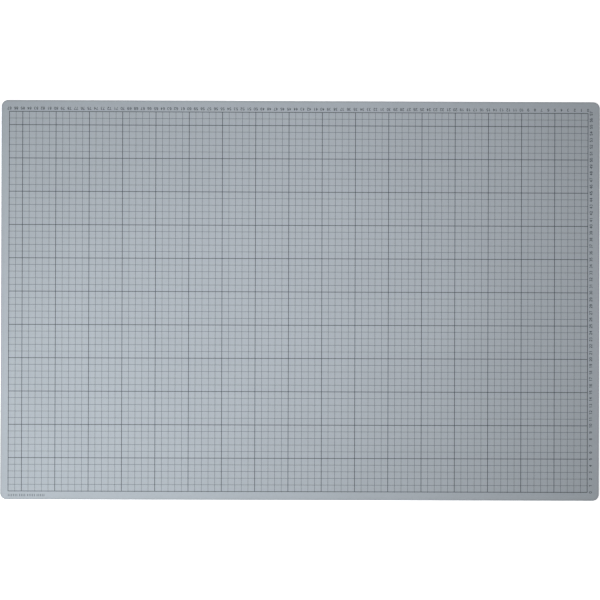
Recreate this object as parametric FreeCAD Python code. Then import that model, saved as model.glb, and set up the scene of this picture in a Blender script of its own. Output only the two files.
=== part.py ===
import FreeCAD, Part
import math
import os

# A grey self-healing cutting mat of the 900 x 600 mm trade size, 3 mm thick.
# Five plastic plies are pressed into one flat sheet, and the grid, scales and corner mark
# are films of ink printed on its upper face.
# Origin: centre of the underside. +X runs along the long side towards the side scale,
# +Y along the short side towards the long scale, +Z out of the printed face.

# Sheet, in millimetres
MAT_LENGTH = 900.0
MAT_WIDTH = 600.0
CORNER_RADIUS = 10.0
EDGE_ROUNDING = 0.6

# Plies from the underside up: node name and thickness
PLIES = (
    ("bottom_healing_ply", 0.8),
    ("lower_bond_ply", 0.5),
    ("core_ply", 0.4),
    ("upper_bond_ply", 0.5),
    ("top_healing_ply", 0.8),
)
MAT_THICKNESS = sum(thickness for _, thickness in PLIES)

# Grid: one-centimetre cells, counted from the lower right corner of the border
CELL = 10.0
CELLS_LONG = 87
CELLS_WIDE = 57
MAJOR_EVERY = 5
MARGIN_LEFT = 12.1
MARGIN_BOTTOM = 12.8
GRID_LEFT = -MAT_LENGTH / 2 + MARGIN_LEFT
GRID_RIGHT = GRID_LEFT + CELLS_LONG * CELL
GRID_BOTTOM = -MAT_WIDTH / 2 + MARGIN_BOTTOM
GRID_TOP = GRID_BOTTOM + CELLS_WIDE * CELL

# Ink
INK_THICKNESS = 0.02
FINE_LINE = 0.43
HEAVY_LINE = 0.9
# the fine lines are printed this far past the border's centre, at the left and the bottom
FINE_OVERRUN = 1.0

# Numerals: height over all, stroke, pitch of the two digits, and clear distance from the border
NUMERAL_HEIGHT = 4.4
NUMERAL_WIDTH = 2.85
NUMERAL_STROKE = 0.7
DIGIT_PITCH = 3.3
NUMERAL_OFFSET = 2.6

# Design of the digits: lengths are shares of half a digit's width, between the middles of its strokes,
# unless noted, and angles are degrees
# share of half the digit's height, between the middles of its strokes, for the upper bowl of 3 and 8
UPPER_BOWL = 0.46
ROUND_BOWL = 1.06
NECK = 0.7
FOOT = 0.45
# share of the bowl's radius, above its centre, at which the stem of 5 meets the bowl
WAIST = 0.6
TWO_TAIL = -35
OPEN_BOWL = 235
HOOK_START = 30
HALF_TURN = 180
FIVE_START = -150

# Corner mark: groups of plain upright bars under the left end of the border
MARK_GROUPS = (6, 4, 5, 5)
MARK_BAR_WIDTH = 0.75
MARK_BAR_HEIGHT = 3.6
MARK_PITCH = 2.6
MARK_GROUP_GAP = 1.4
MARK_OFFSET = 4.3

UP = FreeCAD.Vector(0, 0, 1)


def slab(x_low, x_high, y_low, y_high, z_low, thickness):
    """A rectangular block between these limits."""
    corner = FreeCAD.Vector(x_low, y_low, z_low)
    return Part.makeBox(x_high - x_low, y_high - y_low, thickness, corner)


def ink_bar(x_low, x_high, y_low, y_high):
    """A printed bar lying on the upper face."""
    return slab(x_low, x_high, y_low, y_high, MAT_THICKNESS, INK_THICKNESS)


def is_upright(edge):
    """True for an edge that runs along Z."""
    box = edge.BoundBox
    return box.ZLength > max(box.XLength, box.YLength)


def level_edges(shape, z):
    """The edges that lie in the plane at this height."""
    near = 1e-6
    return [e for e in shape.Edges if abs(e.BoundBox.ZMin - z) < near and abs(e.BoundBox.ZMax - z) < near]


def ply(z_low, thickness):
    """One sheet of the laminate, cut to the mat's outline."""
    block = slab(-MAT_LENGTH / 2, MAT_LENGTH / 2, -MAT_WIDTH / 2, MAT_WIDTH / 2, z_low, thickness)
    return block.makeFillet(CORNER_RADIUS, [e for e in block.Edges if is_upright(e)])


def laminate():
    """The five plies by name, with the two outer ones rounded over at their outer rims."""
    sheets = {}
    z_low = 0.0
    for name, thickness in PLIES:
        sheets[name] = ply(z_low, thickness)
        z_low += thickness
    for name, rim_z in (("bottom_healing_ply", 0.0), ("top_healing_ply", MAT_THICKNESS)):
        sheets[name] = sheets[name].makeFillet(EDGE_ROUNDING, level_edges(sheets[name], rim_z))
    return sheets


def border():
    """The printed frame round the grid, on its outermost lines."""
    half = HEAVY_LINE / 2
    outer = ink_bar(GRID_LEFT - half, GRID_RIGHT + half, GRID_BOTTOM - half, GRID_TOP + half)
    inner = ink_bar(GRID_LEFT + half, GRID_RIGHT - half, GRID_BOTTOM + half, GRID_TOP - half)
    return outer.cut(inner)


def is_major(count):
    """True for every fifth line, counted from the lower right corner."""
    return count % MAJOR_EVERY == 0


def lines_across(major):
    """The lines parallel to the long side, as a group of separate strips."""
    half = (HEAVY_LINE if major else FINE_LINE) / 2
    start = GRID_LEFT + HEAVY_LINE / 2 if major else GRID_LEFT - FINE_OVERRUN
    strips = []
    for count in range(1, CELLS_WIDE):
        if is_major(count) == major:
            y = GRID_BOTTOM + count * CELL
            strips.append(ink_bar(start, GRID_RIGHT - HEAVY_LINE / 2, y - half, y + half))
    return Part.makeCompound(strips)


def lines_along(major):
    """The lines parallel to the short side, as a group of separate strips."""
    half = (HEAVY_LINE if major else FINE_LINE) / 2
    start = GRID_BOTTOM + HEAVY_LINE / 2 if major else GRID_BOTTOM - FINE_OVERRUN
    strips = []
    for count in range(1, CELLS_LONG):
        if is_major(count) == major:
            x = GRID_RIGHT - count * CELL
            strips.append(ink_bar(x - half, x + half, start, GRID_TOP - HEAVY_LINE / 2))
    return Part.makeCompound(strips)


def dot(x, y):
    """A round spot one stroke across, which fills the corner between two strokes."""
    return Part.makeCylinder(NUMERAL_STROKE / 2, INK_THICKNESS, FreeCAD.Vector(x, y, 0), UP)


def straight(x_start, y_start, x_end, y_end):
    """A straight stroke with square ends."""
    length = math.hypot(x_end - x_start, y_end - y_start)
    bar = Part.makeBox(length, NUMERAL_STROKE, INK_THICKNESS, FreeCAD.Vector(0, -NUMERAL_STROKE / 2, 0))
    bar.rotate(FreeCAD.Vector(), UP, math.degrees(math.atan2(y_end - y_start, x_end - x_start)))
    bar.translate(FreeCAD.Vector(x_start, y_start, 0))
    return bar


def bend(x, y, radius, start, sweep=2 * HALF_TURN):
    """A curved stroke about (x, y), counterclockwise from the angle start, in degrees."""
    middle = FreeCAD.Vector(x, y, 0)
    disc = Part.makeCylinder(radius + NUMERAL_STROKE / 2, INK_THICKNESS, middle, UP, sweep)
    hole = Part.makeCylinder(radius - NUMERAL_STROKE / 2, INK_THICKNESS, middle, UP, sweep)
    stroke = disc.cut(hole)
    stroke.rotate(middle, UP, start)
    return stroke


def digit_strokes():
    """The strokes of each digit from 0 to 9, centred on the origin."""
    side = (NUMERAL_WIDTH - NUMERAL_STROKE) / 2
    top = (NUMERAL_HEIGHT - NUMERAL_STROKE) / 2
    tip = NUMERAL_HEIGHT / 2
    shoulder = top - side
    small = UPPER_BOWL * top
    large = top - small
    foot = FOOT * side
    neck = NECK * side
    tail_x = side * math.cos(math.radians(TWO_TAIL))
    tail_y = shoulder + side * math.sin(math.radians(TWO_TAIL))
    bowl = ROUND_BOWL * side
    bowl_y = bowl - top
    waist_angle = HALF_TURN - math.degrees(math.asin(WAIST))
    waist_x = bowl * math.cos(math.radians(waist_angle))
    waist_y = bowl_y + bowl * WAIST
    zero = [
        bend(0, shoulder, side, 0, HALF_TURN),
        bend(0, -shoulder, side, HALF_TURN, HALF_TURN),
        straight(-side, -shoulder, -side, shoulder),
        straight(side, -shoulder, side, shoulder),
    ]
    one = [
        straight(foot / 2, -tip, foot / 2, tip),
        straight(foot / 2, top, -neck, top - side),
    ]
    two = [
        bend(0, shoulder, side, TWO_TAIL, HALF_TURN - TWO_TAIL),
        straight(tail_x, tail_y, -side, -top),
        straight(-side, -top, NUMERAL_WIDTH / 2, -top),
        dot(tail_x, tail_y),
        dot(-side, -top),
    ]
    three = [
        bend(0, top - small, small, -HALF_TURN / 2, OPEN_BOWL),
        bend(0, large - top, large, HALF_TURN / 2 - OPEN_BOWL, OPEN_BOWL),
    ]
    four = [
        straight(foot, -tip, foot, tip),
        straight(foot, top, -side, -foot),
        straight(-side, -foot, NUMERAL_WIDTH / 2, -foot),
        dot(-side, -foot),
    ]
    five = [
        straight(side, top, -neck, top),
        straight(-neck, top, waist_x, waist_y),
        bend(0, bowl_y, bowl, FIVE_START, waist_angle - FIVE_START),
        dot(-neck, top),
        dot(waist_x, waist_y),
    ]
    six = [
        bend(0, -shoulder, side, 0),
        straight(-side, -shoulder, -side, shoulder),
        bend(0, shoulder, side, HOOK_START, HALF_TURN - HOOK_START),
    ]
    seven = [
        straight(-NUMERAL_WIDTH / 2, top, side, top),
        straight(side, top, -foot, -tip),
        dot(side, top),
    ]
    eight = [
        bend(0, top - small, small, 0),
        bend(0, large - top, large, 0),
    ]
    nine = [
        bend(0, shoulder, side, 0),
        straight(side, -shoulder, side, shoulder),
        bend(0, -shoulder, side, HALF_TURN + HOOK_START, HALF_TURN - HOOK_START),
    ]
    return (zero, one, two, three, four, five, six, seven, eight, nine)


def make_digits():
    """Each digit as one flat solid, centred on the origin."""
    digits = []
    for strokes in digit_strokes():
        fused = strokes[0].fuse(strokes[1:])
        digits.append(fused.removeSplitter().Solids[0])
    return digits


def numeral(digits, value, x, y, turn):
    """The solids of a printed number centred on (x, y), turned counterclockwise in degrees."""
    figures = str(value)
    first = -DIGIT_PITCH * (len(figures) - 1) / 2
    solids = []
    for place, figure in enumerate(figures):
        glyph = digits[int(figure)].copy()
        glyph.translate(FreeCAD.Vector(first + place * DIGIT_PITCH, 0, 0))
        glyph.rotate(FreeCAD.Vector(), UP, turn)
        glyph.translate(FreeCAD.Vector(x, y, MAT_THICKNESS))
        solids.append(glyph)
    return solids


def long_scale(digits):
    """Numbers over the long side, read from the far side of the mat, so upside down."""
    y = GRID_TOP + NUMERAL_OFFSET + NUMERAL_HEIGHT / 2
    solids = []
    for count in range(CELLS_LONG + 1):
        solids += numeral(digits, count, GRID_RIGHT - count * CELL, y, HALF_TURN)
    return Part.makeCompound(solids)


def side_scale(digits):
    """Numbers beside the short side, read from the right, so turned a quarter turn."""
    x = GRID_RIGHT + NUMERAL_OFFSET + NUMERAL_HEIGHT / 2
    solids = []
    for count in range(CELLS_WIDE + 1):
        solids += numeral(digits, count, x, GRID_BOTTOM + count * CELL, HALF_TURN / 2)
    return Part.makeCompound(solids)


def corner_mark():
    """Plain upright bars in groups, which stand where a maker's line of print would."""
    y_high = GRID_BOTTOM - MARK_OFFSET
    x = GRID_LEFT
    bars = []
    for bar_count in MARK_GROUPS:
        for _ in range(bar_count):
            bars.append(ink_bar(x, x + MARK_BAR_WIDTH, y_high - MARK_BAR_HEIGHT, y_high))
            x += MARK_PITCH
        x += MARK_GROUP_GAP
    return Part.makeCompound(bars)


def build():
    """Every node of the mat by name."""
    nodes = laminate()
    digits = make_digits()
    nodes["border_print"] = border()
    nodes["five_cm_lines_across"] = lines_across(True)
    nodes["five_cm_lines_along"] = lines_along(True)
    nodes["one_cm_lines_across"] = lines_across(False)
    nodes["one_cm_lines_along"] = lines_along(False)
    nodes["long_scale_numerals"] = long_scale(digits)
    nodes["side_scale_numerals"] = side_scale(digits)
    nodes["corner_mark_print"] = corner_mark()
    return nodes


os.makedirs("parts", exist_ok=True)
for node_name, node_shape in build().items():
    node_shape.exportStep(f"parts/{node_name}.step")
    state = "valid" if node_shape.isValid() else "broken"
    print(node_name, len(node_shape.Solids), "solids", round(node_shape.Volume, 2), "mm3", state)
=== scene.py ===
"""Grey self-healing cutting mat: five vinyl plies with a printed centimetre grid and two number scales."""
import math

import bmesh
import bpy
from bpy.props import FloatProperty, FloatVectorProperty, IntProperty, IntVectorProperty, PointerProperty
from bpy.types import Operator, Panel, PropertyGroup
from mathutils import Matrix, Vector
from mathutils.geometry import delaunay_2d_cdt


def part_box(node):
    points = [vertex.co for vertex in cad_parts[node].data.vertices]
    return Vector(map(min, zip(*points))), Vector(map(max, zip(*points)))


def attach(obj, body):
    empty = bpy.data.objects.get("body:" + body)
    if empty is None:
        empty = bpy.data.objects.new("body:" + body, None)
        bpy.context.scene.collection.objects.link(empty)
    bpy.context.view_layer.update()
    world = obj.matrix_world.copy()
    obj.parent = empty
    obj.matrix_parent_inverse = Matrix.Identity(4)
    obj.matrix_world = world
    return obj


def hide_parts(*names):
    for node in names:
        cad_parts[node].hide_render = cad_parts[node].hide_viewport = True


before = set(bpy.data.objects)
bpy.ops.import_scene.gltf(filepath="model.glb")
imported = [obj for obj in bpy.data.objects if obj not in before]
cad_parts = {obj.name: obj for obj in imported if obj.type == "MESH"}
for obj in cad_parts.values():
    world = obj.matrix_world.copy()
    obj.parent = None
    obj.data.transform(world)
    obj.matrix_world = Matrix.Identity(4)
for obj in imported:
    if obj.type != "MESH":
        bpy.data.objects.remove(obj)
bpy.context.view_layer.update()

bl_info = {
    "name": "Cutting Mat",
    "version": (1, 0, 0),
    "blender": (4, 5, 0),
    "location": "3D View > Sidebar > Cutting Mat",
    "description": "Builds the plies, the printed grid and the number scales of a self-healing cutting mat",
    "category": "Add Mesh",
}

BODY = "root"
# Vertex weight for the painted shade along the rim: 1 at the rim, fading to 0 across the press band
RIM_SHADE_LAYER = "painted_rim_shade"

# The grid: cells of one centimetre, every fifth line heavy
CELL = 0.01
MAJOR_EVERY = 5

# Design of the figures: lengths are shares of half a figure's width, between the middles of its strokes,
# unless noted, and angles are degrees
# share of half the figure's height, between the middles of its strokes, for the upper bowl of 3 and 8
UPPER_BOWL = 0.46
ROUND_BOWL = 1.06
NECK = 0.7
FOOT = 0.45
# share of the bowl's radius, above its centre, at which the stem of 5 meets the bowl
WAIST = 0.6
TWO_TAIL = -35
OPEN_BOWL = 235
HOOK_START = 30
FIVE_START = -150
QUARTER_TURN = 90
HALF_TURN = 180
FULL_TURN = 360

# Faces of the ink films narrower than this are closed up, in metres
SLIVER = 1e-6
# For uniting the strokes of a figure: keep what lies inside them, and merge points this near, in metres
FILL_INSIDE = 1
MERGE_DISTANCE = 1e-7
# Edges of the plies that turn more than this, in degrees, are shaded sharp
SHARP_TURN = 40


# Settings

class SheetSettings(PropertyGroup):
    """Sizes of the laminated sheet."""

    corner_radius: FloatProperty(
        name="Corner Radius", description="Radius of the sheet's four corners, seen from above",
        default=0.01, min=0.002, unit="LENGTH")
    rim_radius: FloatProperty(
        name="Rim Rounding", description="Rounding of the outer plies along their outer rims",
        default=0.0006, min=0.0001, unit="LENGTH")
    seam_depth: FloatProperty(
        name="Seam Depth", description="Depth of the fine groove between two plies at the cut edge",
        default=0.00006, min=0.0, unit="LENGTH")
    # The same width also sets the band of painted shade along the rim
    press_band: FloatProperty(
        name="Press Band", description="Width of the band along the rim that the cutting die pressed down",
        default=0.0034, min=0.001, unit="LENGTH")
    press_drop: FloatProperty(
        name="Press Drop", description="How far the die pressed the rim down",
        default=0.00015, min=0.0, unit="LENGTH")
    patch: FloatProperty(
        name="Patch Size", description="Side of the mesh patches of the flat faces",
        default=0.05, min=0.01, unit="LENGTH")
    corner_segments: IntProperty(
        name="Corner Segments", description="Faces round each corner", default=16, min=4)
    rim_segments: IntProperty(
        name="Rim Segments", description="Faces across the rounded rim", default=6, min=2)


class PrintSettings(PropertyGroup):
    """Sizes of the printed grid, scales and corner mark."""

    fine_width: FloatProperty(
        name="Fine Line", description="Width of the one-centimetre lines",
        default=0.00043, min=0.0001, unit="LENGTH")
    heavy_width: FloatProperty(
        name="Heavy Line", description="Width of the border and the five-centimetre lines",
        default=0.0009, min=0.0001, unit="LENGTH")
    overrun: FloatProperty(
        name="Overrun", description="How far the fine lines run past the border at the left and the bottom",
        default=0.001, min=0.0, unit="LENGTH")
    figure_height: FloatProperty(
        name="Figure Height", description="Height of the scale figures",
        default=0.0044, min=0.001, unit="LENGTH")
    figure_width: FloatProperty(
        name="Figure Width", description="Width of the scale figures",
        default=0.00285, min=0.001, unit="LENGTH")
    figure_stroke: FloatProperty(
        name="Figure Stroke", description="Stroke width of the scale figures",
        default=0.0007, min=0.0001, unit="LENGTH")
    digit_pitch: FloatProperty(
        name="Digit Pitch", description="Distance between the two digits of a number",
        default=0.0033, min=0.001, unit="LENGTH")
    mark_groups: IntVectorProperty(
        name="Mark Groups", description="Bars in each of the corner mark's four groups",
        default=(6, 4, 5, 5), size=4, min=1)
    mark_bar: FloatProperty(
        name="Mark Bar", description="Width of one bar of the corner mark",
        default=0.00075, min=0.0001, unit="LENGTH")
    mark_pitch: FloatProperty(
        name="Mark Pitch", description="Distance from one bar to the next",
        default=0.0026, min=0.0005, unit="LENGTH")
    mark_gap: FloatProperty(
        name="Mark Gap", description="Extra room between two groups of bars",
        default=0.0014, min=0.0, unit="LENGTH")
    arc_segments: IntProperty(
        name="Arc Segments", description="Straight pieces in a quarter turn of a figure", default=6, min=2)


class FinishSettings(PropertyGroup):
    """Colours and surface of the materials."""

    vinyl_colour: FloatVectorProperty(
        name="Healing Vinyl", description="Colour of the top and bottom plies",
        default=(0.425, 0.471, 0.518), size=3, min=0.0, max=1.0, subtype="COLOR")
    bond_colour: FloatVectorProperty(
        name="Bond Vinyl", description="Colour of the two bond plies",
        default=(0.30, 0.33, 0.36), size=3, min=0.0, max=1.0, subtype="COLOR")
    core_colour: FloatVectorProperty(
        name="Core Sheet", description="Colour of the hard core ply",
        default=(0.10, 0.11, 0.12), size=3, min=0.0, max=1.0, subtype="COLOR")
    ink_colour: FloatVectorProperty(
        name="Print Ink", description="Colour of the printed lines and figures",
        default=(0.034, 0.049, 0.067), size=3, min=0.0, max=1.0, subtype="COLOR")
    floor_colour: FloatVectorProperty(
        name="Floor", description="Colour of the studio floor",
        default=(0.92, 0.92, 0.92), size=3, min=0.0, max=1.0, subtype="COLOR")
    grain_size: FloatProperty(
        name="Grain Size", description="Size of the pebbles in the matte surface",
        default=0.0007, min=0.0002, unit="LENGTH")


class StageSettings(PropertyGroup):
    """Camera, lights and floor."""

    lens: FloatProperty(
        name="Lens", description="Focal length in millimetres", default=85.0, min=20.0)
    camera_place: FloatVectorProperty(
        name="Camera Place", description="Where the camera hangs over the mat",
        default=(-0.0111, -0.0072, 2.1322), size=3, subtype="XYZ_LENGTH")
    camera_tilt: FloatVectorProperty(
        name="Camera Tilt", description="How far the camera is off plumb",
        default=(math.radians(0.213), math.radians(-0.283), math.radians(0.186)), size=3, subtype="EULER")
    softbox_size: FloatProperty(
        name="Softbox Size", description="Side of the two square softboxes",
        default=0.6, min=0.1, unit="LENGTH")
    key_place: FloatVectorProperty(
        name="Key Place", description="Where the main softbox hangs",
        default=(-0.572, -0.347, 0.929), size=3, subtype="XYZ_LENGTH")
    key_power: FloatProperty(
        name="Key Power", description="Power of the main softbox, in watts", default=8.54, min=0.0)
    key_colour: FloatVectorProperty(
        name="Key Colour", description="Tint of the main softbox, slightly cool",
        default=(0.972, 0.993, 1.0), size=3, min=0.0, max=1.0, subtype="COLOR")
    fill_place: FloatVectorProperty(
        name="Fill Place", description="Where the fill softbox hangs",
        default=(0.129, 0.122, 0.7), size=3, subtype="XYZ_LENGTH")
    fill_power: FloatProperty(
        name="Fill Power", description="Power of the fill softbox, in watts", default=2.044, min=0.0)
    fill_colour: FloatVectorProperty(
        name="Fill Colour", description="Tint of the fill softbox",
        default=(0.981, 0.967, 1.0), size=3, min=0.0, max=1.0, subtype="COLOR")
    sky_strength: FloatProperty(
        name="Room Light", description="Strength of the even light of the room", default=0.187, min=0.0)
    sky_colour: FloatVectorProperty(
        name="Room Colour", description="Tint of the even light of the room, slightly warm",
        default=(1.0, 0.967, 0.899), size=3, min=0.0, max=1.0, subtype="COLOR")
    floor_glow: FloatProperty(
        name="Floor Glow", description="Light given off by the white floor", default=0.7, min=0.0)


# Meshes

def new_piece(name, mesh, material, slot, *nodes):
    """Puts a finished mesh in the scene as a piece that stands for these CAD nodes."""
    mesh.materials.append(material)
    piece = bpy.data.objects.new(name, mesh)
    bpy.context.scene.collection.objects.link(piece)
    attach(piece, BODY)
    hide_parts(*nodes)


def rim_rays(columns, rows, segments):
    """Rays counterclockwise round the sheet's inner grid: (column, row, outward direction)."""
    sides = (
        [(columns, row) for row in range(rows)],
        [(column, rows) for column in range(columns, 0, -1)],
        [(0, row) for row in range(rows, 0, -1)],
        [(column, 0) for column in range(columns)],
    )
    rays = []
    for quarter, side in enumerate(sides):
        square_out = quarter * math.pi / 2
        for step in range(-segments, 0):
            angle = square_out + step / segments * math.pi / 2
            rays.append((*side[0], Vector((math.cos(angle), math.sin(angle), 0.0))))
        for hub in side:
            rays.append((*hub, Vector((math.cos(square_out), math.sin(square_out), 0.0))))
    return rays


def sheet_mesh(name, low, high, profile, settings):
    """A closed sheet with rounded corners, whose edge follows profile: (inset, height), bottom to top."""
    middle = (low + high) / 2
    reach_x = (high.x - low.x) / 2 - settings.corner_radius
    reach_y = (high.y - low.y) / 2 - settings.corner_radius
    columns = round(2 * reach_x / settings.patch)
    rows = round(2 * reach_y / settings.patch)
    rays = rim_rays(columns, rows, settings.corner_segments)
    bm = bmesh.new()
    rim_shade_weight = bm.verts.layers.float.new(RIM_SHADE_LAYER)

    def hub(column, row, z):
        x = middle.x + reach_x * (2 * column / columns - 1)
        y = middle.y + reach_y * (2 * row / rows - 1)
        return Vector((x, y, z))

    def cap(z, ring, upward):
        grid = {}
        for column in range(columns + 1):
            for row in range(rows + 1):
                grid[column, row] = bm.verts.new(hub(column, row, z))
        faces = []
        for column in range(columns):
            for row in range(rows):
                faces.append((grid[column, row], grid[column + 1, row],
                              grid[column + 1, row + 1], grid[column, row + 1]))
        for index, vertex in enumerate(ring):
            here = grid[rays[index - 1][:2]]
            there = grid[rays[index][:2]]
            corners = (ring[index - 1], vertex, there)
            faces.append(corners if here == there else (*corners, here))
        for corners in faces:
            bm.faces.new(corners if upward else corners[::-1])

    rings = []
    for inset, z in profile:
        ring = [bm.verts.new(hub(column, row, z) + out * (settings.corner_radius - inset))
                for column, row, out in rays]
        # Weight of the painted rim shade, which darkens the vinyl colour; the cut edges of the inner plies
        # get nearly all of it
        for vertex in ring:
            vertex[rim_shade_weight] = max(0.0, 1.0 - inset / settings.press_band)
        rings.append(ring)
    for lower, upper in zip(rings, rings[1:]):
        for index in range(len(rays)):
            bm.faces.new((lower[index - 1], lower[index], upper[index], upper[index - 1]))
    cap(profile[0][1], rings[0], False)
    cap(profile[-1][1], rings[-1], True)
    for face in bm.faces:
        face.smooth = True
    mesh = bpy.data.meshes.new(name)
    bm.to_mesh(mesh)
    bm.free()
    mesh.set_sharp_from_angle(angle=math.radians(SHARP_TURN))
    return mesh


def outer_profile(low_z, high_z, settings):
    """Edge of the top ply, from its seam up over the rounded rim and the pressed band: (inset, height)."""
    seam = settings.seam_depth
    radius = settings.rim_radius
    rim_z = high_z - settings.press_drop
    profile = [(seam, low_z), (0.0, low_z + seam)]
    for step in range(settings.rim_segments + 1):
        angle = step / settings.rim_segments * math.pi / 2
        profile.append((radius * (1 - math.cos(angle)), rim_z - radius * (1 - math.sin(angle))))
    for step in range(1, settings.rim_segments + 1):
        share = step / settings.rim_segments
        inset = radius + (settings.press_band - radius) * share
        profile.append((inset, rim_z + settings.press_drop * (1 - (1 - share) ** 2)))
    return profile


def inner_profile(low_z, high_z, settings):
    """Edge of a ply inside the stack, slightly crowned between its two seams: (inset, height)."""
    seam = settings.seam_depth
    return [
        (2 * seam, low_z),
        (seam, low_z + seam),
        (seam, high_z - seam),
        (2 * seam, high_z),
    ]


def film_mesh(name, points, faces, low_z, high_z):
    """A closed film of ink from flat faces, which share points along their common edges."""
    bm = bmesh.new()
    upper = [bm.verts.new((x, y, high_z)) for x, y in points]
    lower = [bm.verts.new((x, y, low_z)) for x, y in points]
    edges = {}
    for corners in faces:
        bm.faces.new([upper[corner] for corner in corners])
        bm.faces.new([lower[corner] for corner in reversed(corners)])
        for start, end in zip(corners, corners[1:] + corners[:1]):
            edges[start, end] = True
    for start, end in edges:
        if (end, start) not in edges:
            bm.faces.new((upper[start], lower[start], lower[end], upper[end]))
    unused = [vertex for vertex in bm.verts if not vertex.link_faces]
    bmesh.ops.delete(bm, geom=unused, context="VERTS")
    bmesh.ops.dissolve_degenerate(bm, dist=SLIVER, edges=bm.edges[:])
    mesh = bpy.data.meshes.new(name)
    bm.to_mesh(mesh)
    bm.free()
    return mesh


# Grid

def grid_limits(settings):
    """The centre lines of the border: left, right, bottom and top."""
    low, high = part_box("border_print")
    half = settings.heavy_width / 2
    return low.x + half, high.x - half, low.y + half, high.y - half


def bands(first, last, settings):
    """Cuts one axis into bands: (start, end, kind), where kind is gap, fine, heavy or overrun.

    Lines are counted from first to last, every fifth is heavy, and so is the last one."""
    count = round(abs(last - first) / CELL)
    lines = []
    for number in range(count + 1):
        heavy = number % MAJOR_EVERY == 0 or number == count
        half = (settings.heavy_width if heavy else settings.fine_width) / 2
        middle = first + (last - first) * number / count
        lines.append((middle - half, middle + half, "heavy" if heavy else "fine"))
    lines.sort()
    found = [(min(first, last) - settings.overrun, lines[0][0], "overrun")]
    for line, following in zip(lines, lines[1:]):
        found.append(line)
        found.append((line[1], following[0], "gap"))
    return found + [lines[-1]]


def heavy_ink(column, row):
    """True where the border or a five-centimetre line is printed."""
    return "heavy" in (column, row) and "overrun" not in (column, row)


def fine_ink(column, row):
    """True where a one-centimetre line is printed outside the heavy lines."""
    return "fine" in (column, row) and "heavy" not in (column, row) and (column, row).count("overrun") < 2


def lattice(columns, rows, inked):
    """Points and faces of a printed lattice: one face for each crossing of bands that carries ink."""
    points = []
    index = {}
    faces = []

    def corner(i, j):
        if (i, j) not in index:
            x = columns[i][0] if i < len(columns) else columns[-1][1]
            y = rows[j][0] if j < len(rows) else rows[-1][1]
            index[i, j] = len(points)
            points.append((x, y))
        return index[i, j]

    for i, (_, _, column) in enumerate(columns):
        for j, (_, _, row) in enumerate(rows):
            if inked(column, row):
                faces.append([corner(i, j), corner(i + 1, j), corner(i + 1, j + 1), corner(i, j + 1)])
    return points, faces


def only_heavy(found):
    """The same bands with the fine lines taken back into the gaps between heavy ones."""
    heavy = [band for band in found if band[2] == "heavy"]
    merged = []
    for line, following in zip(heavy, heavy[1:]):
        merged.append(line)
        merged.append((line[1], following[0], "gap"))
    return merged + [heavy[-1]]


# Figures

def straight(x_start, y_start, x_end, y_end, stroke):
    """A straight stroke with square ends, as one quad."""
    start = Vector((x_start, y_start))
    end = Vector((x_end, y_end))
    along = (end - start).normalized()
    across = Vector((-along.y, along.x)) * stroke / 2
    return [(start - across, end - across, end + across, start + across)]


def bend(x, y, radius, start, sweep, stroke, segments):
    """A curved stroke about (x, y), counterclockwise from start, in degrees, as a row of quads."""
    middle = Vector((x, y))
    count = round(sweep / QUARTER_TURN * segments)
    spokes = []
    for step in range(count + 1):
        angle = math.radians(start + sweep * step / count)
        out = Vector((math.cos(angle), math.sin(angle)))
        spokes.append((middle + out * (radius - stroke / 2), middle + out * (radius + stroke / 2)))
    return [(near[0], near[1], far[1], far[0]) for near, far in zip(spokes, spokes[1:])]


def digit_quads(settings):
    """The strokes of each digit from 0 to 9 as quads, centred on the origin and upright."""
    stroke = settings.figure_stroke
    segments = settings.arc_segments
    side = (settings.figure_width - stroke) / 2
    top = (settings.figure_height - stroke) / 2
    tip = settings.figure_height / 2
    edge = settings.figure_width / 2
    shoulder = top - side
    small = UPPER_BOWL * top
    large = top - small
    foot = FOOT * side
    neck = NECK * side
    tail_x = side * math.cos(math.radians(TWO_TAIL))
    tail_y = shoulder + side * math.sin(math.radians(TWO_TAIL))
    bowl = ROUND_BOWL * side
    bowl_y = bowl - top
    waist_angle = HALF_TURN - math.degrees(math.asin(WAIST))
    waist_x = bowl * math.cos(math.radians(waist_angle))
    waist_y = bowl_y + bowl * WAIST

    def line(x_start, y_start, x_end, y_end):
        return straight(x_start, y_start, x_end, y_end, stroke)

    def arc(x, y, radius, start, sweep=FULL_TURN):
        return bend(x, y, radius, start, sweep, stroke, segments)

    def dot(x, y):
        return bend(x, y, stroke / 4, 0, FULL_TURN, stroke / 2, segments)

    zero = [
        *arc(0, shoulder, side, 0, HALF_TURN),
        *arc(0, -shoulder, side, HALF_TURN, HALF_TURN),
        *line(-side, -shoulder, -side, shoulder),
        *line(side, -shoulder, side, shoulder),
    ]
    one = [
        *line(foot / 2, -tip, foot / 2, tip),
        *line(foot / 2, top, -neck, top - side),
    ]
    two = [
        *arc(0, shoulder, side, TWO_TAIL, HALF_TURN - TWO_TAIL),
        *line(tail_x, tail_y, -side, -top),
        *line(-side, -top, edge, -top),
        *dot(tail_x, tail_y),
        *dot(-side, -top),
    ]
    three = [
        *arc(0, top - small, small, -QUARTER_TURN, OPEN_BOWL),
        *arc(0, large - top, large, QUARTER_TURN - OPEN_BOWL, OPEN_BOWL),
    ]
    four = [
        *line(foot, -tip, foot, tip),
        *line(foot, top, -side, -foot),
        *line(-side, -foot, edge, -foot),
        *dot(-side, -foot),
    ]
    five = [
        *line(side, top, -neck, top),
        *line(-neck, top, waist_x, waist_y),
        *arc(0, bowl_y, bowl, FIVE_START, waist_angle - FIVE_START),
        *dot(-neck, top),
        *dot(waist_x, waist_y),
    ]
    six = [
        *arc(0, -shoulder, side, 0),
        *line(-side, -shoulder, -side, shoulder),
        *arc(0, shoulder, side, HOOK_START, HALF_TURN - HOOK_START),
    ]
    seven = [
        *line(-edge, top, side, top),
        *line(side, top, -foot, -tip),
        *dot(side, top),
    ]
    eight = [
        *arc(0, top - small, small, 0),
        *arc(0, large - top, large, 0),
    ]
    nine = [
        *arc(0, shoulder, side, 0),
        *line(side, -shoulder, side, shoulder),
        *arc(0, -shoulder, side, HALF_TURN + HOOK_START, HALF_TURN - HOOK_START),
    ]
    return (zero, one, two, three, four, five, six, seven, eight, nine)


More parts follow.
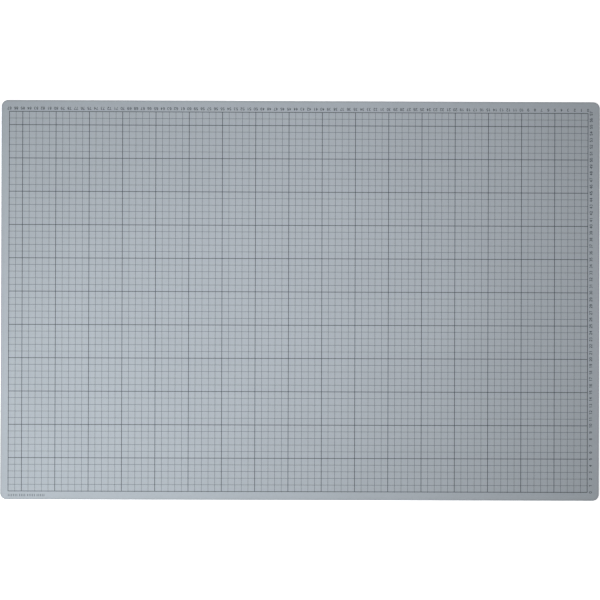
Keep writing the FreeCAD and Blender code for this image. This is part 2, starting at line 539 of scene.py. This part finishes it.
def united(quads):
    """Points and triangles of the area that overlapping quads cover, without the holes they enclose."""
    points = []
    faces = []
    for quad in quads:
        faces.append(list(range(len(points), len(points) + 4)))
        points += quad
    cut = delaunay_2d_cdt(points, [], faces, FILL_INSIDE, MERGE_DISTANCE)
    vertices, _, cut_faces, _, _, covers = cut
    triangles = [list(corners) for corners, covered_by in zip(cut_faces, covers) if covered_by]
    return [tuple(point) for point in vertices], triangles


def number_quads(value, digits, settings):
    """The stroke quads of a number, centred on the origin and upright."""
    figures = str(value)
    quads = []
    for place, figure in enumerate(figures):
        shift = Vector((settings.digit_pitch * (place - (len(figures) - 1) / 2), 0))
        for quad in digits[int(figure)]:
            quads.append([corner + shift for corner in quad])
    return quads


def scale_film(name, places, angle, low_z, high_z, settings):
    """One film of ink with a number printed at each place: places holds (value, x, y)."""
    digits = digit_quads(settings)
    cos = math.cos(angle)
    sin = math.sin(angle)
    points = []
    faces = []
    for value, x, y in places:
        flat, triangles = united(number_quads(value, digits, settings))
        first = len(points)
        points += [(x + along * cos - up * sin, y + along * sin + up * cos) for along, up in flat]
        faces += [[first + corner for corner in triangle] for triangle in triangles]
    return film_mesh(name, points, faces, low_z, high_z)


# Materials

def vinyl_material(name, colour, spread, roughness, grain_size, grain_depth):
    """Matte plastic sheet: cloudy pigment, fine speckle, painted shade darkening the colour along the
    pressed rim, and a pebbled surface.

    The pigment varies by the share spread either way, and grain_depth is the height of the pebbles."""
    speckle_spread = 1.5 * spread
    sheen_spread = 0.05
    material = bpy.data.materials.new(name)
    material.use_nodes = True
    nodes = material.node_tree.nodes
    links = material.node_tree.links
    nodes.clear()

    colour_frame = nodes.new("NodeFrame")
    colour_frame.label = "Pigment and painted rim shade"
    gloss_frame = nodes.new("NodeFrame")
    gloss_frame.label = "Uneven sheen"
    grain_frame = nodes.new("NodeFrame")
    grain_frame.label = "Pebbled surface"

    coordinates = nodes.new("ShaderNodeTexCoord")
    coordinates.label = "Place on the sheet"
    coordinates.location = (-1500, 0)

    clouds = nodes.new("ShaderNodeTexNoise")
    clouds.label = "Pigment clouds"
    clouds.location = (-1200, 500)
    clouds.parent = colour_frame
    clouds.inputs["Scale"].default_value = 7.0
    clouds.inputs["Detail"].default_value = 3.0

    cloud_tone = nodes.new("ShaderNodeMapRange")
    cloud_tone.label = "Cloud tone"
    cloud_tone.location = (-980, 500)
    cloud_tone.parent = colour_frame
    cloud_tone.inputs["From Min"].default_value = 0.3
    cloud_tone.inputs["From Max"].default_value = 0.7
    cloud_tone.inputs["To Min"].default_value = 1.0 - spread
    cloud_tone.inputs["To Max"].default_value = 1.0 + spread

    speckle = nodes.new("ShaderNodeTexNoise")
    speckle.label = "Pigment speckle"
    speckle.location = (-1200, 250)
    speckle.parent = colour_frame
    speckle.inputs["Scale"].default_value = 420.0
    speckle.inputs["Detail"].default_value = 2.0

    speckle_tone = nodes.new("ShaderNodeMapRange")
    speckle_tone.label = "Speckle tone"
    speckle_tone.location = (-980, 250)
    speckle_tone.parent = colour_frame
    speckle_tone.inputs["From Min"].default_value = 0.3
    speckle_tone.inputs["From Max"].default_value = 0.7
    speckle_tone.inputs["To Min"].default_value = 1.0 - speckle_spread
    speckle_tone.inputs["To Max"].default_value = 1.0 + speckle_spread

    rim = nodes.new("ShaderNodeAttribute")
    rim.label = "Distance to the rim"
    rim.location = (-1200, 0)
    rim.parent = colour_frame
    rim.attribute_name = RIM_SHADE_LAYER

    # Painted shade: darkens the pigment to 0.86 at the rim, standing in for the shade on the rounded,
    # pressed rim
    rim_shade_tone = nodes.new("ShaderNodeMapRange")
    rim_shade_tone.label = "Painted rim shade"
    rim_shade_tone.location = (-980, 0)
    rim_shade_tone.parent = colour_frame
    rim_shade_tone.inputs["To Min"].default_value = 1.0
    rim_shade_tone.inputs["To Max"].default_value = 0.86

    mottled = nodes.new("ShaderNodeMath")
    mottled.label = "Clouds and speckle"
    mottled.location = (-760, 400)
    mottled.parent = colour_frame
    mottled.operation = "MULTIPLY"

    # Real pigment mottling times the painted rim shade
    toned = nodes.new("ShaderNodeMath")
    toned.label = "With painted rim shade"
    toned.location = (-540, 300)
    toned.parent = colour_frame
    toned.operation = "MULTIPLY"

    pigment = nodes.new("ShaderNodeHueSaturation")
    pigment.label = "Vinyl pigment"
    pigment.location = (-320, 300)
    pigment.parent = colour_frame
    pigment.inputs["Color"].default_value = (*colour, 1.0)

    smudges = nodes.new("ShaderNodeTexNoise")
    smudges.label = "Handling smudges"
    smudges.location = (-1200, -300)
    smudges.parent = gloss_frame
    smudges.inputs["Scale"].default_value = 16.0
    smudges.inputs["Detail"].default_value = 4.0

    sheen = nodes.new("ShaderNodeMapRange")
    sheen.label = "Matte to satin"
    sheen.location = (-980, -300)
    sheen.parent = gloss_frame
    sheen.inputs["From Min"].default_value = 0.3
    sheen.inputs["From Max"].default_value = 0.7
    sheen.inputs["To Min"].default_value = roughness - sheen_spread
    sheen.inputs["To Max"].default_value = roughness + sheen_spread

    pebbles = nodes.new("ShaderNodeTexVoronoi")
    pebbles.label = "Pebbles"
    pebbles.location = (-1200, -600)
    pebbles.parent = grain_frame
    pebbles.feature = "SMOOTH_F1"
    pebbles.inputs["Scale"].default_value = 1.0 / grain_size
    pebbles.inputs["Smoothness"].default_value = 0.6

    tooth = nodes.new("ShaderNodeTexNoise")
    tooth.label = "Fine tooth"
    tooth.location = (-1200, -900)
    tooth.parent = grain_frame
    tooth.inputs["Scale"].default_value = 2.5 / grain_size
    tooth.inputs["Detail"].default_value = 2.0

    relief = nodes.new("ShaderNodeMath")
    relief.label = "Pebbles with tooth"
    relief.location = (-980, -700)
    relief.parent = grain_frame
    relief.operation = "MULTIPLY_ADD"
    relief.inputs[1].default_value = 0.35

    bump = nodes.new("ShaderNodeBump")
    bump.label = "Pebbled surface"
    bump.location = (-320, -500)
    bump.parent = grain_frame
    bump.inputs["Strength"].default_value = 0.8
    bump.inputs["Distance"].default_value = grain_depth

    surface = nodes.new("ShaderNodeBsdfPrincipled")
    surface.label = "Matte vinyl"
    surface.location = (0, 200)
    surface.inputs["Specular IOR Level"].default_value = 0.4

    output = nodes.new("ShaderNodeOutputMaterial")
    output.label = "Sheet surface"
    output.location = (300, 200)

    links.new(coordinates.outputs["Object"], clouds.inputs["Vector"])
    links.new(coordinates.outputs["Object"], speckle.inputs["Vector"])
    links.new(coordinates.outputs["Object"], smudges.inputs["Vector"])
    links.new(coordinates.outputs["Object"], pebbles.inputs["Vector"])
    links.new(coordinates.outputs["Object"], tooth.inputs["Vector"])
    links.new(clouds.outputs["Fac"], cloud_tone.inputs["Value"])
    links.new(speckle.outputs["Fac"], speckle_tone.inputs["Value"])
    links.new(rim.outputs["Fac"], rim_shade_tone.inputs["Value"])
    links.new(cloud_tone.outputs["Result"], mottled.inputs[0])
    links.new(speckle_tone.outputs["Result"], mottled.inputs[1])
    links.new(mottled.outputs["Value"], toned.inputs[0])
    links.new(rim_shade_tone.outputs["Result"], toned.inputs[1])
    links.new(toned.outputs["Value"], pigment.inputs["Value"])
    links.new(pigment.outputs["Color"], surface.inputs["Base Color"])
    links.new(smudges.outputs["Fac"], sheen.inputs["Value"])
    links.new(sheen.outputs["Result"], surface.inputs["Roughness"])
    links.new(tooth.outputs["Fac"], relief.inputs[0])
    links.new(pebbles.outputs["Distance"], relief.inputs[2])
    links.new(relief.outputs["Value"], bump.inputs["Height"])
    links.new(bump.outputs["Normal"], surface.inputs["Normal"])
    links.new(surface.outputs["BSDF"], output.inputs["Surface"])
    return material


def ink_material(name, colour, unevenness, grain_size):
    """Screen-printed ink: laid down a little unevenly, satin, over the sheet's pebbles."""
    material = bpy.data.materials.new(name)
    material.use_nodes = True
    nodes = material.node_tree.nodes
    links = material.node_tree.links
    nodes.clear()

    colour_frame = nodes.new("NodeFrame")
    colour_frame.label = "Uneven ink"
    gloss_frame = nodes.new("NodeFrame")
    gloss_frame.label = "Satin film"
    grain_frame = nodes.new("NodeFrame")
    grain_frame.label = "Pebbles under the ink"

    coordinates = nodes.new("ShaderNodeTexCoord")
    coordinates.label = "Place on the sheet"
    coordinates.location = (-1300, 0)

    squeegee = nodes.new("ShaderNodeTexNoise")
    squeegee.label = "Squeegee pressure"
    squeegee.location = (-1050, 400)
    squeegee.parent = colour_frame
    squeegee.inputs["Scale"].default_value = 22.0
    squeegee.inputs["Detail"].default_value = 2.0

    mesh_marks = nodes.new("ShaderNodeTexNoise")
    mesh_marks.label = "Screen mesh"
    mesh_marks.location = (-1050, 150)
    mesh_marks.parent = colour_frame
    mesh_marks.inputs["Scale"].default_value = 2200.0
    mesh_marks.inputs["Detail"].default_value = 1.0

    laydown = nodes.new("ShaderNodeMath")
    laydown.label = "Ink laydown"
    laydown.location = (-830, 300)
    laydown.parent = colour_frame
    laydown.operation = "ADD"

    tone = nodes.new("ShaderNodeMapRange")
    tone.label = "Ink tone"
    tone.location = (-610, 300)
    tone.parent = colour_frame
    tone.inputs["From Min"].default_value = 0.7
    tone.inputs["From Max"].default_value = 1.3
    tone.inputs["To Min"].default_value = 1.0 - unevenness
    tone.inputs["To Max"].default_value = 1.0 + unevenness

    ink = nodes.new("ShaderNodeHueSaturation")
    ink.label = "Slate ink"
    ink.location = (-390, 300)
    ink.parent = colour_frame
    ink.inputs["Color"].default_value = (*colour, 1.0)

    film = nodes.new("ShaderNodeMapRange")
    film.label = "Ink sheen"
    film.location = (-610, 0)
    film.parent = gloss_frame
    film.inputs["From Min"].default_value = 0.7
    film.inputs["From Max"].default_value = 1.3
    film.inputs["To Min"].default_value = 0.62
    film.inputs["To Max"].default_value = 0.48

    pebbles = nodes.new("ShaderNodeTexVoronoi")
    pebbles.label = "Pebbles"
    pebbles.location = (-1050, -350)
    pebbles.parent = grain_frame
    pebbles.feature = "SMOOTH_F1"
    pebbles.inputs["Scale"].default_value = 1.0 / grain_size
    pebbles.inputs["Smoothness"].default_value = 0.8

    bump = nodes.new("ShaderNodeBump")
    bump.label = "Softened pebbles"
    bump.location = (-390, -250)
    bump.parent = grain_frame
    bump.inputs["Strength"].default_value = 0.6
    bump.inputs["Distance"].default_value = 0.00015

    surface = nodes.new("ShaderNodeBsdfPrincipled")
    surface.label = "Printed ink"
    surface.location = (-100, 200)
    surface.inputs["Specular IOR Level"].default_value = 0.35

    output = nodes.new("ShaderNodeOutputMaterial")
    output.label = "Print surface"
    output.location = (200, 200)

    links.new(coordinates.outputs["Object"], squeegee.inputs["Vector"])
    links.new(coordinates.outputs["Object"], mesh_marks.inputs["Vector"])
    links.new(coordinates.outputs["Object"], pebbles.inputs["Vector"])
    links.new(squeegee.outputs["Fac"], laydown.inputs[0])
    links.new(mesh_marks.outputs["Fac"], laydown.inputs[1])
    links.new(laydown.outputs["Value"], tone.inputs["Value"])
    links.new(laydown.outputs["Value"], film.inputs["Value"])
    links.new(tone.outputs["Result"], ink.inputs["Value"])
    links.new(ink.outputs["Color"], surface.inputs["Base Color"])
    links.new(film.outputs["Result"], surface.inputs["Roughness"])
    links.new(pebbles.outputs["Distance"], bump.inputs["Height"])
    links.new(bump.outputs["Normal"], surface.inputs["Normal"])
    links.new(surface.outputs["BSDF"], output.inputs["Surface"])
    return material


def floor_material(name, colour, glow):
    """White studio floor, faintly uneven, that gives off a little light of its own."""
    material = bpy.data.materials.new(name)
    material.use_nodes = True
    nodes = material.node_tree.nodes
    links = material.node_tree.links
    nodes.clear()

    coordinates = nodes.new("ShaderNodeTexCoord")
    coordinates.label = "Place on the floor"
    coordinates.location = (-900, 0)

    wash = nodes.new("ShaderNodeTexNoise")
    wash.label = "Paint wash"
    wash.location = (-700, 0)
    wash.inputs["Scale"].default_value = 3.0

    tone = nodes.new("ShaderNodeMapRange")
    tone.label = "Wash tone"
    tone.location = (-480, 0)
    tone.inputs["To Min"].default_value = 0.99
    tone.inputs["To Max"].default_value = 1.01

    paint = nodes.new("ShaderNodeHueSaturation")
    paint.label = "Floor paint"
    paint.location = (-260, 0)
    paint.inputs["Color"].default_value = (*colour, 1.0)

    surface = nodes.new("ShaderNodeBsdfPrincipled")
    surface.label = "Matte floor"
    surface.location = (0, 0)
    surface.inputs["Roughness"].default_value = 0.9
    surface.inputs["Specular IOR Level"].default_value = 0.1
    surface.inputs["Emission Color"].default_value = (1.0, 1.0, 1.0, 1.0)
    surface.inputs["Emission Strength"].default_value = glow

    output = nodes.new("ShaderNodeOutputMaterial")
    output.label = "Floor surface"
    output.location = (300, 0)

    links.new(coordinates.outputs["Object"], wash.inputs["Vector"])
    links.new(wash.outputs["Fac"], tone.inputs["Value"])
    links.new(tone.outputs["Result"], paint.inputs["Value"])
    links.new(paint.outputs["Color"], surface.inputs["Base Color"])
    links.new(surface.outputs["BSDF"], output.inputs["Surface"])
    return material


# Operators

class CUTTINGMAT_OT_healing_plies(Operator):
    """Builds the top and bottom healing plies with their rounded rims"""

    bl_idname = "cutting_mat.healing_plies"
    bl_label = "Healing Plies"

    def execute(self, context):
        settings = context.scene.mat_sheet
        finish = context.scene.mat_finish
        vinyl = vinyl_material("pebbled_grey_vinyl", finish.vinyl_colour, spread=0.015, roughness=0.6,
                               grain_size=finish.grain_size, grain_depth=0.0003)
        low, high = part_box("top_healing_ply")
        mesh = sheet_mesh("top_healing_sheet", low, high, outer_profile(low.z, high.z, settings), settings)
        new_piece("top_healing_sheet", mesh, vinyl, "healing_vinyl", "top_healing_ply")
        low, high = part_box("bottom_healing_ply")
        upside_down = outer_profile(-high.z, -low.z, settings)
        profile = [(inset, -z) for inset, z in reversed(upside_down)]
        mesh = sheet_mesh("bottom_healing_sheet", low, high, profile, settings)
        new_piece("bottom_healing_sheet", mesh, vinyl, "healing_vinyl", "bottom_healing_ply")
        return {"FINISHED"}


class CUTTINGMAT_OT_inner_plies(Operator):
    """Builds the two bond plies and the hard core between them"""

    bl_idname = "cutting_mat.inner_plies"
    bl_label = "Inner Plies"

    def execute(self, context):
        settings = context.scene.mat_sheet
        finish = context.scene.mat_finish
        bond = vinyl_material("cut_bond_vinyl", finish.bond_colour, spread=0.02, roughness=0.55,
                              grain_size=finish.grain_size, grain_depth=0.00004)
        core = vinyl_material("cut_core_sheet", finish.core_colour, spread=0.03, roughness=0.45,
                              grain_size=finish.grain_size, grain_depth=0.00003)
        for name, node, material, slot in (
            ("upper_bond_sheet", "upper_bond_ply", bond, "bond_vinyl"),
            ("hard_core_sheet", "core_ply", core, "core_sheet"),
            ("lower_bond_sheet", "lower_bond_ply", bond, "bond_vinyl"),
        ):
            low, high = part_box(node)
            mesh = sheet_mesh(name, low, high, inner_profile(low.z, high.z, settings), settings)
            new_piece(name, mesh, material, slot, node)
        return {"FINISHED"}


class CUTTINGMAT_OT_printed_grid(Operator):
    """Prints the border with the five-centimetre lines, and the one-centimetre lines between them"""

    bl_idname = "cutting_mat.printed_grid"
    bl_label = "Printed Grid"

    def execute(self, context):
        settings = context.scene.mat_print
        finish = context.scene.mat_finish
        ink = ink_material("line_ink", finish.ink_colour, unevenness=0.12, grain_size=finish.grain_size)
        left, right, bottom, top = grid_limits(settings)
        columns = bands(right, left, settings)
        rows = bands(bottom, top, settings)
        low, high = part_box("border_print")
        points, faces = lattice(only_heavy(columns), only_heavy(rows), heavy_ink)
        mesh = film_mesh("five_cm_grid", points, faces, low.z, high.z)
        new_piece("five_cm_grid", mesh, ink, "print_ink",
                  "border_print", "five_cm_lines_across", "five_cm_lines_along")
        points, faces = lattice(columns, rows, fine_ink)
        mesh = film_mesh("one_cm_grid", points, faces, low.z, high.z)
        new_piece("one_cm_grid", mesh, ink, "print_ink", "one_cm_lines_across", "one_cm_lines_along")
        return {"FINISHED"}


class CUTTINGMAT_OT_scale_figures(Operator):
    """Prints the numbers of the long scale and the side scale"""

    bl_idname = "cutting_mat.scale_figures"
    bl_label = "Scale Figures"

    def execute(self, context):
        settings = context.scene.mat_print
        finish = context.scene.mat_finish
        ink = ink_material("figure_ink", finish.ink_colour, unevenness=0.08, grain_size=finish.grain_size)
        left, right, bottom, top = grid_limits(settings)
        low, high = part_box("long_scale_numerals")
        y = (low.y + high.y) / 2
        places = [(count, right - count * CELL, y) for count in range(round((right - left) / CELL) + 1)]
        mesh = scale_film("long_scale_figures", places, math.pi, low.z, high.z, settings)
        new_piece("long_scale_figures", mesh, ink, "print_ink", "long_scale_numerals")
        low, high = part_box("side_scale_numerals")
        x = (low.x + high.x) / 2
        places = [(count, x, bottom + count * CELL) for count in range(round((top - bottom) / CELL) + 1)]
        mesh = scale_film("side_scale_figures", places, math.pi / 2, low.z, high.z, settings)
        new_piece("side_scale_figures", mesh, ink, "print_ink", "side_scale_numerals")
        return {"FINISHED"}


class CUTTINGMAT_OT_corner_mark(Operator):
    """Prints the row of plain bars, in groups, under the lower left corner of the border"""

    bl_idname = "cutting_mat.corner_mark"
    bl_label = "Corner Mark"

    def execute(self, context):
        settings = context.scene.mat_print
        finish = context.scene.mat_finish
        ink = ink_material("mark_ink", finish.ink_colour, unevenness=0.10, grain_size=finish.grain_size)
        low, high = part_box("corner_mark_print")
        points = []
        faces = []
        x = low.x
        for bars in settings.mark_groups:
            for _ in range(bars):
                faces.append([len(points) + corner for corner in range(4)])
                far = x + settings.mark_bar
                points += [(x, low.y), (far, low.y), (far, high.y), (x, high.y)]
                x += settings.mark_pitch
            x += settings.mark_gap
        mesh = film_mesh("corner_mark_bars", points, faces, low.z, high.z)
        new_piece("corner_mark_bars", mesh, ink, "print_ink", "corner_mark_print")
        return {"FINISHED"}


class CUTTINGMAT_OT_stage(Operator):
    """Sets up the floor, the studio lights and the camera"""

    bl_idname = "cutting_mat.stage"
    bl_label = "Stage"

    def execute(self, context):
        scene = context.scene
        settings = scene.mat_stage
        paint = floor_material("floor_paint", scene.mat_finish.floor_colour, settings.floor_glow)
        self.lay_floor(scene, paint)
        self.raise_backdrop(scene, paint)
        key = self.hang_light(scene, "key_softbox", settings.key_place, settings.softbox_size)
        key.energy = settings.key_power
        key.color = settings.key_colour
        fill = self.hang_light(scene, "fill_softbox", settings.fill_place, settings.softbox_size)
        fill.energy = settings.fill_power
        fill.color = settings.fill_colour
        world = bpy.data.worlds.new("studio_room")
        world.use_nodes = True
        background = world.node_tree.nodes["Background"]
        background.inputs["Color"].default_value = (*settings.sky_colour, 1.0)
        background.inputs["Strength"].default_value = settings.sky_strength
        scene.world = world
        scene.view_settings.view_transform = "Standard"
        camera = bpy.data.cameras.new("overhead_camera")
        camera.lens = settings.lens
        holder = bpy.data.objects.new("overhead_camera", camera)
        holder.location = settings.camera_place
        holder.rotation_euler = settings.camera_tilt
        scene.collection.objects.link(holder)
        scene.camera = holder
        return {"FINISHED"}

    def lay_floor(self, scene, paint):
        """A wide flat floor just under the mat."""
        half = 20.0
        drop = 0.0002
        mesh = bpy.data.meshes.new("studio_floor")
        corners = [(-half, -half, -drop), (half, -half, -drop), (half, half, -drop), (-half, half, -drop)]
        mesh.from_pydata(corners, [], [(0, 1, 2, 3)])
        mesh.materials.append(paint)
        floor = bpy.data.objects.new("studio_floor", mesh)
        scene.collection.objects.link(floor)

    def raise_backdrop(self, scene, paint):
        """A round wall near the floor's edge, which casts no light, and is seen only in low views."""
        radius = 19.0
        height = 12.0
        bm = bmesh.new()
        bmesh.ops.create_cone(bm, segments=96, radius1=radius, radius2=radius, depth=2 * height)
        for face in bm.faces:
            face.smooth = True
        mesh = bpy.data.meshes.new("studio_backdrop")
        bm.to_mesh(mesh)
        bm.free()
        mesh.materials.append(paint)
        backdrop = bpy.data.objects.new("studio_backdrop", mesh)
        backdrop.visible_diffuse = False
        backdrop.visible_glossy = False
        backdrop.visible_shadow = False
        scene.collection.objects.link(backdrop)

    def hang_light(self, scene, name, place, size):
        """A square softbox that faces the middle of the mat."""
        light = bpy.data.lights.new(name, "AREA")
        light.size = size
        lamp = bpy.data.objects.new(name, light)
        lamp.location = place
        lamp.rotation_euler = Vector(place).to_track_quat("Z", "Y").to_euler()
        lamp.visible_camera = False
        scene.collection.objects.link(lamp)
        return light


class CUTTINGMAT_PT_sidebar(Panel):
    """Lists the steps that build the mat"""

    bl_label = "Cutting Mat"
    bl_space_type = "VIEW_3D"
    bl_region_type = "UI"
    bl_category = "Cutting Mat"

    def draw(self, context):
        for operator in STEPS:
            self.layout.operator(operator.bl_idname)


STEPS = (
    CUTTINGMAT_OT_stage,
    CUTTINGMAT_OT_healing_plies,
    CUTTINGMAT_OT_inner_plies,
    CUTTINGMAT_OT_printed_grid,
    CUTTINGMAT_OT_scale_figures,
    CUTTINGMAT_OT_corner_mark,
)
SETTINGS = (
    ("mat_sheet", SheetSettings),
    ("mat_print", PrintSettings),
    ("mat_finish", FinishSettings),
    ("mat_stage", StageSettings),
)


def register():
    """Registers the settings, the steps and the panel."""
    for name, group in SETTINGS:
        bpy.utils.register_class(group)
        setattr(bpy.types.Scene, name, PointerProperty(type=group))
    for operator in STEPS:
        bpy.utils.register_class(operator)
    bpy.utils.register_class(CUTTINGMAT_PT_sidebar)


def unregister():
    """Removes the panel, the steps and the settings."""
    bpy.utils.unregister_class(CUTTINGMAT_PT_sidebar)
    for operator in reversed(STEPS):
        bpy.utils.unregister_class(operator)
    for name, group in reversed(SETTINGS):
        delattr(bpy.types.Scene, name)
        bpy.utils.unregister_class(group)


def main():
    """Builds the whole mat."""
    register()
    bpy.ops.cutting_mat.stage()
    bpy.ops.cutting_mat.healing_plies()
    bpy.ops.cutting_mat.inner_plies()
    bpy.ops.cutting_mat.printed_grid()
    bpy.ops.cutting_mat.scale_figures()
    bpy.ops.cutting_mat.corner_mark()


if __name__ == "__main__":
    main()
